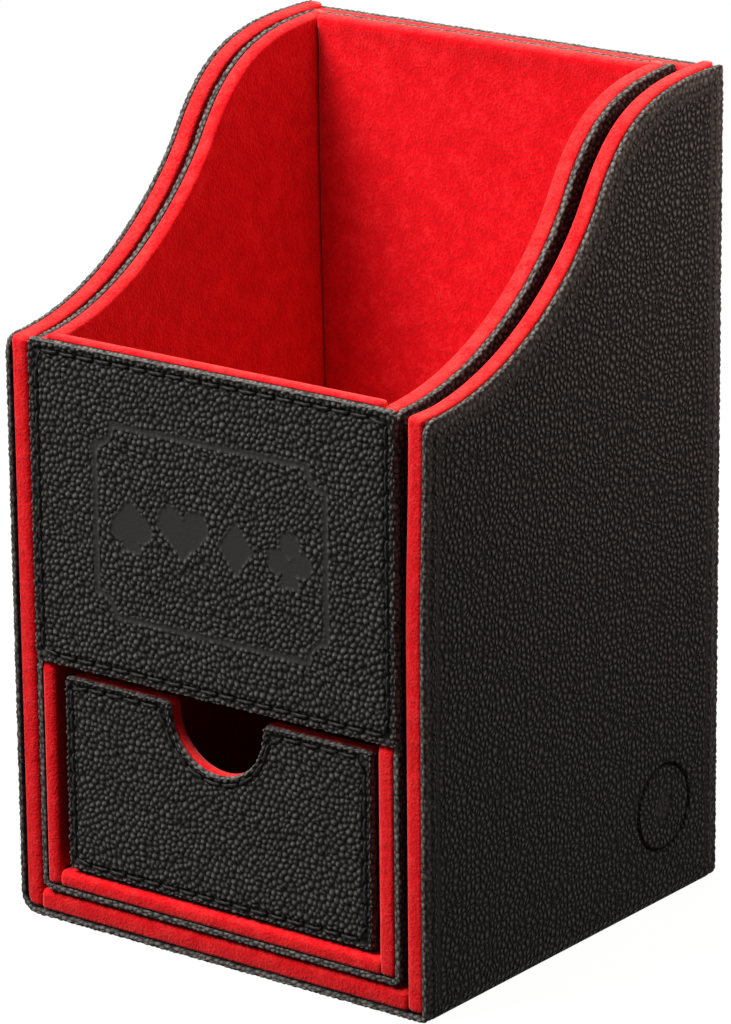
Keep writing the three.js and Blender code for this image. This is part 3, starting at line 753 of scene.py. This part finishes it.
def pebbled_leather():
    """PU leather embossed with a pebble grain: satin pebbles about a millimetre across that catch the
    light, with matt creases between them. Its colour is painted from the relief: near black in the creases,
    a painted shade, and lighter on the pebble tops, a painted highlight. Where it is turned over an edge,
    the pebble tops are painted pale grey: painted glints."""
    material, tree = new_material("pebbled_leather")
    grain = node(tree, "Attribute", {"attribute_name": "grain"}).outputs["Vector"]
    modelled, pressed, pebble, turned = (
        node(tree, "Attribute", {"attribute_name": name}).outputs["Fac"]
        for name in ("modelled", "pressed", "pebble", "turned"))

    drift = node(tree, "TexNoise", {"noise_dimensions": "2D"}, Vector=grain,
                 Scale=1 / (4 * PEBBLE * MM), Detail=1.0)
    place = node(tree, "VectorMath", {"operation": "MULTIPLY_ADD"},
                 i0=drift.outputs["Color"], i1=(PEBBLE * MM,) * 3, i2=grain)
    first, second = (
        node(tree, "TexVoronoi", {"feature": feature, "voronoi_dimensions": "2D"},
             Vector=place, Scale=1 / (PEBBLE * MM), Randomness=0.85)
        for feature in ("F1", "F2"))
    twice = node(tree, "Math", {"operation": "MULTIPLY"}, i0=first, i1=2.0)
    both = node(tree, "Math", {"operation": "ADD"}, i0=first, i1=second)
    ratio = node(tree, "Math", {"operation": "DIVIDE"}, i0=twice, i1=both)
    squared = node(tree, "Math", {"operation": "POWER"}, i0=ratio, i1=2.0)
    dome = node(tree, "Math", {"operation": "SUBTRACT", "use_clamp": True}, i0=1.0, i1=squared)
    dome = node(tree, "Math", {"operation": "POWER"}, i0=dome, i1=1.3)

    keep = node(tree, "Math", {"operation": "MULTIPLY_ADD"}, i0=pressed, i1=-0.95, i2=1.0)
    crease = node(tree, "Math", {"operation": "SUBTRACT"}, i0=dome, i1=1.0)
    drawn = node(tree, "Math", {"operation": "MULTIPLY_ADD"}, i0=crease, i1=keep, i2=1.0)
    softer = node(tree, "Math", {"operation": "MULTIPLY_ADD"}, i0=drawn, i1=0.7, i2=0.12)
    relief = node(tree, "Mix", {"data_type": "FLOAT"}, i0=modelled, i2=softer, i3=pebble)
    dulled = node(tree, "Math", {"operation": "MULTIPLY_ADD"}, i0=pressed, i1=-0.5, i2=1.0)
    tone = node(tree, "Math", {"operation": "MULTIPLY"}, i0=relief, i1=dulled)

    unmodelled = node(tree, "Math", {"operation": "SUBTRACT"}, i0=1.0, i1=modelled)
    height = node(tree, "Math", {"operation": "MULTIPLY"}, i0=drawn, i1=unmodelled)
    pores = node(tree, "TexNoise", Vector=grain, Scale=1 / (PORE * MM), Detail=2.0)
    height = node(tree, "Math", {"operation": "MULTIPLY_ADD"}, i0=pores, i1=0.08, i2=height)
    bump = node(tree, "Bump", Height=height, Distance=DRAWN_DEPTH * MM)

    # Painted shade and painted highlight: the colour runs from near black in the creases to a light grey on
    # the pebble tops.
    stops = [(0.0, "#020202"), (0.25, "#141313"), (0.55, "#302E2C"), (1.0, "#5A5652")]
    colour = node(tree, "ValToRGB", {"stops": stops}, Fac=tone)
    # Painted glints: on turned edges the pebble tops are mixed towards pale grey.
    painted_edge_light = node(tree, "Math", {"operation": "MULTIPLY"}, i0=tone, i1=0.6)
    painted_glint = node(tree, "Math", {"operation": "MULTIPLY"}, i0=turned, i1=painted_edge_light)
    mixed = node(tree, "Mix", {"data_type": "RGBA"}, i0=painted_glint, i6=colour, i7=linear("#7C7771"))
    roughness = node(tree, "Math", {"operation": "MULTIPLY_ADD"}, i0=tone, i1=-0.5, i2=0.86)
    shader = node(tree, "BsdfPrincipled", Base_Color=mixed.outputs[2], Roughness=roughness,
                  Specular_IOR_Level=0.06, Normal=bump)
    node(tree, "OutputMaterial", Surface=shader)
    return material


def red_suede():
    """Microfibre suede glued over board: a dense short nap, so it is matt, and mottled where the nap lies
    another way. Its turned edges are painted paler, a painted highlight: a little where they face sideways
    and most where they face up, as if lit from above."""
    material, tree = new_material("red_suede")
    place = node(tree, "TexCoord").outputs["Object"]
    swirls = node(tree, "TexNoise", Vector=place, Scale=1 / (SWIRL * MM), Detail=2.0, Roughness=0.55,
                  Distortion=0.4)
    nap = node(tree, "TexNoise", Vector=place, Scale=1 / (NAP * MM), Detail=2.0)
    tone = node(tree, "Math", {"operation": "MULTIPLY"}, i0=swirls, i1=0.5)
    tone = node(tree, "Math", {"operation": "MULTIPLY_ADD"}, i0=nap, i1=0.5, i2=tone)
    flat_stops = [(0.36, "#BA000C"), (0.5, "#C80010"), (0.64, "#D4161E")]
    # Painted highlight: the paler red for turned edges.
    painted_highlight_stops = [(0.36, "#CA0A14"), (0.64, "#DC302E")]
    flat_colour, painted_highlight_colour = (
        node(tree, "ValToRGB", {"stops": stops}, Fac=tone) for stops in (flat_stops, painted_highlight_stops))

    # Painted highlight on the turned edges: a quarter of the paler red where they face sideways, all of it
    # where they face up.
    turned = node(tree, "Attribute", {"attribute_name": "turned"}).outputs["Fac"]
    facing = node(tree, "NewGeometry").outputs["Normal"]
    upward = node(tree, "SeparateXYZ", i0=facing).outputs["Z"]
    painted_edge_light = node(tree, "MapRange", {"interpolation_type": "SMOOTHSTEP"},
                  Value=upward, From_Min=0.0, From_Max=0.7, To_Min=0.25, To_Max=1.0)
    painted_edge_light = node(tree, "Math", {"operation": "MULTIPLY"}, i0=turned, i1=painted_edge_light)
    mixed = node(tree, "Mix", {"data_type": "RGBA"}, i0=painted_edge_light, i6=flat_colour, i7=painted_highlight_colour)

    height = node(tree, "Math", {"operation": "ADD"}, i0=nap, i1=swirls)
    bump = node(tree, "Bump", Height=height, Distance=NAP_DEPTH * MM)
    shader = node(tree, "BsdfPrincipled", Base_Color=mixed.outputs[2], Roughness=0.95,
                  Specular_IOR_Level=0.05, Sheen_Weight=0.4, Sheen_Roughness=0.4,
                  Sheen_Tint=linear("#FFB8AE"), Normal=bump)
    node(tree, "OutputMaterial", Surface=shader)
    return material


def black_thread():
    """Bonded polyester thread: two plies twisted together, so it shows slanting ridges, painted lighter
    than the grooves between them as a painted highlight.
    """
    material, tree = new_material("black_thread")
    place = node(tree, "TexCoord").outputs["Object"]
    twist = node(tree, "TexWave", {"bands_direction": "DIAGONAL"}, Vector=place,
                 Scale=0.2 / (THREAD * MM), Distortion=1.0, Detail=2.0).outputs["Fac"]
    # Painted highlight: the colour is lighter on the ply ridges.
    colour = node(tree, "ValToRGB", {"stops": [(0.1, "#060606"), (0.9, "#242120")]}, Fac=twist)
    bump = node(tree, "Bump", Height=twist, Strength=0.8, Distance=PLY_DEPTH * MM)
    shader = node(tree, "BsdfPrincipled", Base_Color=colour, Roughness=0.6, Specular_IOR_Level=0.15,
                  Normal=bump)
    node(tree, "OutputMaterial", Surface=shader)
    return material


def grey_board():
    """Grey bookbinder's board: pressed waste paper, matt, with light and dark fibres."""
    material, tree = new_material("grey_board")
    place = node(tree, "TexCoord").outputs["Object"]
    fibres = node(tree, "TexNoise", Vector=place, Scale=1 / (FIBRE * MM), Detail=6.0)
    stops = [(0.3, "#6F6A60"), (0.55, "#8D887C"), (0.75, "#A8A294")]
    colour = node(tree, "ValToRGB", {"stops": stops}, Fac=fibres)
    bump = node(tree, "Bump", Height=fibres, Strength=0.5, Distance=FIBRE_DEPTH * MM)
    shader = node(tree, "BsdfPrincipled", Base_Color=colour, Roughness=0.9, Normal=bump)
    node(tree, "OutputMaterial", Surface=shader)
    return material


LEATHER_FINISH = pebbled_leather()
SUEDE_FINISH = red_suede()
BOARD_FINISH = grey_board()
THREAD_FINISH = black_thread()


# Pieces

def wrapped_board(name, outline, thickness, place, body, swell=0.0, showing=None,
                  rounds=(SUEDE_ROUND, SUEDE_ROUND_FAR, SUEDE_DEEP)):
    """A board in its suede: two pieces from one outline, for the nodes NAME_lining and NAME_board.

    The shown face swells beside that part of the outline which showing picks."""
    edge = outline if showing is None else outline[showing(outline)]

    def face(points):
        return -swell * np.exp(-((nearest(points, edge) - rounds[0]) / SWELL_REACH) ** 2)

    def near(points):
        return nearest(points, edge) < 2 * SWELL_REACH

    swollen = {"fine": SWELL_SPACING, "near": near, "face": face} if swell else {}
    lining = plate(outline, suede_rim(thickness, *rounds), SUEDE_SPACING, under_spacing=HIDDEN_SPACING,
                   **swollen)
    board = plate(outline, board_rim(thickness, *rounds), HIDDEN_SPACING)
    suede = make_object(name + "_suede", place(lining.flat), lining.faces, {"turned": lining.turned})
    core = make_object(name + "_core", place(board.flat), board.faces)
    finish_piece(suede, SUEDE_FINISH, "suede", body, name + "_lining")
    finish_piece(core, BOARD_FINISH, "greyboard", body, name + "_board")


def suede_sheet(name, node_name, body):
    faces = cad_faces(node_name)
    outline = rectangle(faces.x0, faces.x1, faces.y0, faces.y1, SHEET_CORNER / 2, 2.0)
    made = plate(outline, thin_rim(faces.z1 - faces.z0), HIDDEN_SPACING / 2)
    piece = make_object(name, floor_place(faces.z1)(made.flat), made.faces)
    finish_piece(piece, SUEDE_FINISH, "suede", body, node_name)


def edge_modelled(points, outline):
    """1 along the edges, where the grain is modelled, fading to 0 further in."""
    return 1 - soft_step(nearest(points, outline), MODELLED_EDGE, MODELLED_EDGE + MODELLED_FADE)


def leather_sheet(name, outline, rim, place, body, node_name, depth=RIM_PEBBLE_DEPTH):
    """A plain leather sheet whose grain is modelled along its edges."""
    def near(points):
        return nearest(points, outline) < MODELLED_EDGE + MODELLED_FADE

    made = plate(outline, rim, SHEET_SPACING, fine=RIM_STEP, near=near, under_spacing=SHEET_SPACING)
    modelled = edge_modelled(made.flat[:, :2], outline)
    piece = leather_object(name, made, place, np.zeros(len(modelled)), modelled, depth)
    finish_piece(piece, LEATHER_FINISH, "leather", body, node_name)


def case_side(side, name):
    thickness = CASE_SIDE.x1 - CASE_SIDE.x0
    bend = CASE_BENDS[side > 0]
    centre = CASE.x1 - bend
    radius = max(bend - CASE_LEATHER - GLUE, 0)
    height = CASE.z0 + bend

    def foot(z):
        """The share of the wall's thickness that the leather's round corner leaves at height z."""
        drop = np.clip(height - z, 0, radius)
        out = centre + np.sqrt(radius ** 2 - drop ** 2)
        return np.clip((out - CASE_SIDE.x0) / thickness, 0.12, 1)

    outline = side_outline(CASE_SIDE.y0, CASE_SIDE.y1, CASE_SIDE.z0 + 0.1, LINED_RISE, 0.6)
    place = giving(side_place(side, CASE_SIDE.x0, foot))
    wrapped_board(name, outline, thickness, place, "box", CASE_SWELL,
                  lambda points: points[:, 0] < CASE_SIDE.y0 + 1)


def inner_side(side, name):
    outline = side_outline(INNER_SIDE.y0, INNER_SIDE.y1, INNER_SIDE.z0, LINED_RISE, 0.6,
                           front_above=PANEL_LINED.y0)
    thickness = INNER_SIDE.x1 - INNER_SIDE.x0
    place = giving(side_place(side, INNER_SIDE.x0), 1)
    wrapped_board(name, outline, thickness, place, "box", INNER_SWELL[side],
                  lambda points: (points[:, 0] < INNER_SIDE.y1 - 1) & (points[:, 1] > INNER_SIDE.z0 + 1))


def lined_floor(name, faces, swell, lean=0.0):
    outline = rectangle(faces.x0, faces.x1, faces.y0, faces.y1, SHEET_CORNER, 0.8)
    wrapped_board(name, outline, faces.z1 - faces.z0, giving(floor_place(faces.z1), lean), "box", swell,
                  lambda points: points[:, 1] < faces.y0 + 1)


def lined_back(name, faces, place, body, swell=0.0, **options):
    outline = rounded([(faces.x0, faces.z0, SHEET_CORNER), (faces.x1, faces.z0, SHEET_CORNER),
                       (faces.x1, faces.z1, MITRE), (faces.x0, faces.z1, MITRE)], 0.8)
    wrapped_board(name, outline, faces.y1 - faces.y0, place(front_place(faces.y0)), body, swell,
                  lambda points: points[:, 1] > faces.z1 - 1, **options)


def case_leather():
    half = CASE.x1
    outline = wrap_outline(half, CASE.z0, CASE_BENDS, CASE.y0, CASE.y1, CASE_LEATHER_RISES)
    ring_at = wrap_along(half, CASE.z0, CASE_BENDS[1], RING_Z)
    lozenge = np.array([[RING_Y - LOZENGE_HALF[0], ring_at], [RING_Y, ring_at - LOZENGE_HALF[1]],
                        [RING_Y + LOZENGE_HALF[0], ring_at], [RING_Y, ring_at + LOZENGE_HALF[1]]])
    under = half + CASE_BENDS[0] / 2

    def from_ring_centre(points):
        return np.hypot(points[:, 0] - RING_Y, points[:, 1] - ring_at)

    def near(points):
        return (nearest(points, outline) < BAND + 1) | (from_ring_centre(points) < RING_RADIUS + 1)

    def ring(points):
        return 1 - soft_step(np.abs(from_ring_centre(points) - RING_RADIUS), 0.1, RING_LINE / 2)

    def marks(points):
        """Depth and how fully pressed, at flat points."""
        edge = nearest(points, outline)
        on_wall = soft_step(np.abs(points[:, 1]), under - 1, under + 3)
        groove = on_wall * np.exp(-((edge - BAND) / BAND_WIDTH) ** 2)
        smooth = BAND_SMOOTH * on_wall * soft_step(edge, 0.3, 1.2) * (1 - soft_step(edge, BAND, BAND + 0.5))
        lozenge_depth, lozenge_pressed = area_press(points, lozenge, LOZENGE_DEPTH)
        depth = BAND_DEPTH * groove + PRESS_DEPTH * ring(points) + lozenge_depth
        return depth, np.maximum.reduce([groove, smooth, 0.6 * lozenge_pressed])

    made = plate(outline, leather_rim(CASE_LEATHER), 2.0, fine=RIM_STEP, near=near,
                 face=lambda points: marks(points)[0], under_spacing=2.0)
    flat = made.flat[:, :2]
    modelled = np.maximum(edge_modelled(flat, outline), ring(flat))
    # The ring is sunk, and painted dark as painted shade in its groove.
    piece = leather_object("case_leather", made, giving(wrap_place(half, CASE.z0, CASE_BENDS)),
                           marks(flat)[1], modelled, RIM_PEBBLE_DEPTH, ring(flat))
    finish_piece(piece, LEATHER_FINISH, "leather", "box", "case_leather_wrap")


def inner_leather():
    half = INNER_SIDE.x1 + GLUE + INNER_LEATHER
    bottom = INNER_FLOOR.z0 - GLUE - INNER_LEATHER
    outline = wrap_outline(half, bottom, INNER_BENDS, INNER.y0, INNER.y1, INNER_LEATHER_RISES,
                           PANEL_LINED.y0)
    leather_sheet("inner_leather", outline, leather_rim(INNER_LEATHER, LEATHER_ROUND, 0.4),
                  giving(wrap_place(half, bottom, INNER_BENDS), 1), "box", "inner_leather_wrap")


def back_leather(name, node_name):
    faces = cad_faces(node_name)
    outline = rectangle(faces.x0, faces.x1, faces.z0, faces.z1, SHEET_CORNER, RIM_STEP)
    leather_sheet(name, outline, leather_rim(faces.y1 - faces.y0), giving(rear_place(faces.y1)), "box",
                  node_name)


def walk(outline, spacing):
    """Evenly spaced places along a closed outline, near the spacing asked for."""
    closed = np.vstack([outline, outline[:1]])
    lengths = np.r_[0, np.cumsum(np.linalg.norm(np.diff(closed, axis=0), axis=1))]
    count = round(lengths[-1] / spacing)
    at = np.linspace(0, lengths[-1], count, endpoint=False)
    return np.stack([np.interp(at, lengths, closed[:, i]) for i in range(2)], 1)


def stitched_face(name, node_name, outline, seam, faces, body, frame_marks):
    """A stitched leather face: pebbled all over, with a seam groove, needle holes and pressed marks."""
    holes = walk(seam, STITCH)

    def marks(points):
        depth = line_press(points, seam, SEAM_DEPTH, SEAM_WIDTH)
        pressed = 0.1 * depth / SEAM_DEPTH
        for frame_mark in frame_marks:
            mark_depth, mark_pressed = frame_mark(points)
            depth = np.maximum(depth, mark_depth)
            pressed = np.maximum(pressed, mark_pressed)
        return depth, pressed

    made = plate(outline, leather_rim(faces.y1 - faces.y0, far_round=THIN_LEATHER_FAR), FACE_SPACING,
                 face=lambda points: marks(points)[0], under_spacing=6.0)
    flat = made.flat[:, :2]
    # The needle holes and the seam groove are sunk, and painted dark as painted shade.
    sunk_and_shaded = np.maximum(line_press(flat, holes, 1, HOLE_WIDTH), line_press(flat, seam, 0.4, SEAM_WIDTH))
    piece = leather_object(name, made, front_place(faces.y0), marks(flat)[1], np.ones(len(flat)),
                           PEBBLE_DEPTH, sunk_and_shaded)
    finish_piece(piece, LEATHER_FINISH, "leather", body, node_name)
    return holes


def stitching(name, holes, face, body):
    """Lockstitches: one short thread from each needle hole to the next, dipping into both."""
    rings, sides = 9, 6
    t = np.linspace(0, 1, rings)[:, None]
    angle = np.linspace(0, 2 * math.pi, sides, endpoint=False)
    hump = 1 - (2 * t - 1) ** 4
    radius = THREAD / 2 * (0.72 + 0.28 * hump)
    depth = SEAM_DEPTH + 0.2 - 0.3 * hump - radius * np.sin(angle)
    points, faces = [], []
    for here, following in zip(holes, np.roll(holes, -1, axis=0)):
        way = (following - here) / np.linalg.norm(following - here)
        centre = here + (following - here) * (0.08 + 0.84 * t)
        first = len(points) * rings * sides
        points.append(np.stack([centre[:, :1] - way[1] * radius * np.cos(angle), face + depth,
                                centre[:, 1:] + way[0] * radius * np.cos(angle)], 2).reshape(-1, 3))
        for i in range(rings - 1):
            for k in range(sides):
                a, b = first + i * sides + k, first + i * sides + (k + 1) % sides
                faces.append([a, b, b + sides, a + sides])
        faces.append([first + k for k in range(sides)][::-1])
        faces.append([first + (rings - 1) * sides + k for k in range(sides)])
    finish_piece(make_object(name, np.vstack(points), faces), THREAD_FINISH, "leather", body)


def front_panel():
    outline = rectangle(PANEL.x0, PANEL.x1, PANEL.z0, PANEL.z1, 1.0, 0.3)
    s = PANEL_SEAM
    seam = rectangle(PANEL.x0 + s, PANEL.x1 - s, PANEL.z0 + s, PANEL.z1 - s, 0.8, 0.2)
    centre_line = dense(bitten_frame(FRAME_LINE / 2), 0.15)

    def frame_mark(points):
        pressed = 1 - soft_step(nearest(points, centre_line), FRAME_LINE / 2 - 0.2, FRAME_LINE / 2 + 0.2)
        return PRESS_DEPTH * pressed, pressed

    shapes = [lambda points, shape=shape: area_press(points, shape, PRESS_DEPTH) for shape in pips()]
    holes = stitched_face("front_panel_leather_face", "front_panel_leather", outline, seam, PANEL, "box",
                          [frame_mark, *shapes])
    stitching("front_panel_stitching", holes, PANEL.y0, "box")
    faces = PANEL_LINED
    left, right = faces.x0 - PANEL_LIP, faces.x1 + PANEL_LIP
    lip = faces.z1 - PANEL_LIP_DROP
    lined = rounded([(faces.x0, faces.z0, SHEET_CORNER), (faces.x1, faces.z0, SHEET_CORNER),
                     (faces.x1, lip, SHEET_CORNER / 2), (right, PANEL_LINED_TOP, SHEET_CORNER),
                     (left, PANEL_LINED_TOP, SHEET_CORNER), (faces.x0, lip, SHEET_CORNER / 2)], 0.8)
    wrapped_board("front_panel", lined, faces.y1 - faces.y0, giving(rear_place(faces.y1), 1), "box")


def notched(faces, inset, corner, step):
    """The drawer front's outline, moved in by inset."""
    radius = NOTCH_RADIUS + inset
    top = faces.z1 - inset
    half = math.sqrt(radius ** 2 - (top - NOTCH_CENTRE) ** 2)
    reach = NOTCH_CORNER + 0.4
    start = math.degrees(math.asin((top - NOTCH_CENTRE) / radius)) - math.degrees(reach / radius)
    notch = arc((0, NOTCH_CENTRE), radius, start, -180 - start, 48)
    corners = [(faces.x0 + inset, faces.z0 + inset, corner), (faces.x1 - inset, faces.z0 + inset, corner),
               (faces.x1 - inset, top, corner), (half, top, NOTCH_CORNER)]
    corners += [(u, v, 0) for u, v in notch]
    corners += [(-half, top, NOTCH_CORNER), (faces.x0 + inset, top, corner)]
    return rounded(corners, step)


def drawer_front():
    outline = notched(DRAWER_FACE, 0, 1.0, 0.3)
    seam = notched(DRAWER_FACE, DRAWER_SEAM, 0.8, 0.2)
    holes = stitched_face("drawer_front_leather_face", "drawer_front_leather", outline, seam, DRAWER_FACE,
                          "drawer", [])
    stitching("drawer_front_stitching", holes, DRAWER_FACE.y0, "drawer")
    lined = notched(DRAWER_LINED, 0, SHEET_CORNER, 0.7)
    wrapped_board("drawer_front", lined, DRAWER_LINED.y1 - DRAWER_LINED.y0, rear_place(DRAWER_LINED.y1),
                  "drawer")


def drawer_box():
    rounds = (THIN_ROUND, THIN_ROUND, 1)
    wall = cad_faces("drawer_right_lining")
    outline = rectangle(wall.y0, wall.y1, wall.z0, wall.z1, SHEET_CORNER, 0.8)
    for side, name in ((-1, "drawer_left"), (1, "drawer_right")):
        wrapped_board(name, outline, wall.x1 - wall.x0, side_place(side, wall.x0), "drawer", rounds=rounds)
    lined_back("drawer_back", cad_faces("drawer_back_lining"), lambda place: place, "drawer", rounds=rounds)
    skin = cad_faces("drawer_skin")
    reach = wrap_along(skin.x1, skin.z0, SKIN_BEND, skin.z1)
    leather_sheet("drawer_outer_skin", rectangle(skin.y0, skin.y1, -reach, reach, SHEET_CORNER, 1.0),
                  thin_rim(THIN_SKIN), wrap_place(skin.x1, skin.z0, (SKIN_BEND, SKIN_BEND)),
                  "drawer", "drawer_skin", THIN_PEBBLE_DEPTH)
    back = cad_faces("drawer_back_skin")
    leather_sheet("drawer_back_cover", rectangle(back.x0, back.x1, back.z0, back.z1, SHEET_CORNER, 1.0),
                  thin_rim(back.y1 - back.y0), rear_place(back.y1), "drawer", "drawer_back_skin",
                  THIN_PEBBLE_DEPTH)
    suede_sheet("drawer_floor_suede", "drawer_floor_lining", "drawer")


case_leather()
back_leather("case_back_cover", "case_back_leather")
case_side(-1, "case_left")
case_side(1, "case_right")
lined_floor("case_floor", CASE_FLOOR, CASE_FLOOR_SWELL)
lined_back("case_back", CASE_BACK._replace(z1=CASE_BACK.z1 - CASE_BACK_DROP), giving, "box", BACK_SWELL)
inner_leather()
back_leather("inner_back_cover", "inner_back_leather")
inner_side(-1, "inner_left")
inner_side(1, "inner_right")
lined_floor("inner_floor", INNER_FLOOR, INNER_FLOOR_SWELL, 1)
lined_back("inner_back", INNER_BACK._replace(z1=INNER_BACK.z1 - INNER_BACK_DROP),
           lambda place: giving(place, 1), "box", BACK_SWELL)
suede_sheet("shelf_top_suede", "shelf_top_lining", "box")
suede_sheet("shelf_under_suede", "shelf_under_lining", "box")
front_panel()
drawer_front()
drawer_box()

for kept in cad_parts.values():
    if not kept.hide_render:
        kept.data.materials.clear()
        kept.data.materials.append(BOARD_FINISH)


# Studio

def camera():
    data = bpy.data.cameras.new("camera")
    data.sensor_width = SENSOR
    data.lens = FOCAL_PIXELS / FRAME_HEIGHT_PIXELS * SENSOR
    data.clip_end = 20
    made = add_object("camera", data)
    tilt = math.pi / 2 - CAMERA_ELEVATION
    made.matrix_world = (Matrix.Translation(CAMERA_PLACE) @ Matrix.Rotation(CAMERA_AZIMUTH, 4, "Z")
                         @ Matrix.Rotation(tilt, 4, "X") @ Matrix.Rotation(CAMERA_ROLL, 4, "Z"))
    bpy.context.scene.camera = made


def lamp(name, place, size, power, colour=(1, 1, 1)):
    data = bpy.data.lights.new(name, "AREA")
    data.shape = "RECTANGLE"
    data.size, data.size_y = size
    data.energy = power
    data.color = colour
    made = add_object(name, data)
    made.location = place
    made.rotation_euler = (LAMP_AIM - Vector(place)).to_track_quat("-Z", "Y").to_euler()
    made.visible_camera = False


def seen_straight(tree):
    """1 for rays that see the room itself, so that mirror-like surfaces show it white too."""
    path = node(tree, "LightPath").outputs
    mirrored = node(tree, "Math", {"operation": "MAXIMUM"},
                    i0=path["Is Glossy Ray"], i1=path["Is Transmission Ray"])
    return node(tree, "Math", {"operation": "MAXIMUM"}, i0=path["Is Camera Ray"], i1=mirrored)


def studio():
    scene = bpy.context.scene
    scene.view_settings.view_transform = "Standard"
    world = bpy.data.worlds.new("white_room")
    world.use_nodes = True
    scene.world = world
    tree = world.node_tree
    tree.nodes.clear()
    strength = node(tree, "Math", {"operation": "MULTIPLY_ADD"},
                    i0=seen_straight(tree), i1=1 - ROOM_LIGHT, i2=ROOM_LIGHT)
    background = node(tree, "Background", Color=(1, 1, 1, 1), Strength=strength)
    node(tree, "OutputWorld", Surface=background)
    lamp("key_softbox", (-0.42, -0.45, 0.87), (0.55, 0.55), 25)
    lamp("top_softbox", (-0.03, 0.0, 0.6), (0.3, 0.3), 1.5)
    lamp("side_lamp", (0.13, 0.06, 0.168), (0.12, 0.12), 0.23, (1, 0.74, 0.66))

    mesh = bpy.data.meshes.new("floor")
    corners = [(FLOOR_REACH * x, FLOOR_REACH * y, 0) for x, y in ((-1, -1), (1, -1), (1, 1), (-1, 1))]
    mesh.from_pydata(corners, [], [(0, 1, 2, 3)])
    material, tree = new_material("white_paper")
    matt = node(tree, "BsdfDiffuse", Color=linear("#404040"))
    strength = node(tree, "Math", {"operation": "MULTIPLY"}, i0=seen_straight(tree), i1=FLOOR_GLOW)
    glow = node(tree, "Emission", Strength=strength)
    both = node(tree, "AddShader", i0=matt, i1=glow)
    node(tree, "OutputMaterial", Surface=both)
    mesh.materials.append(material)
    add_object("floor", mesh)


camera()
studio()
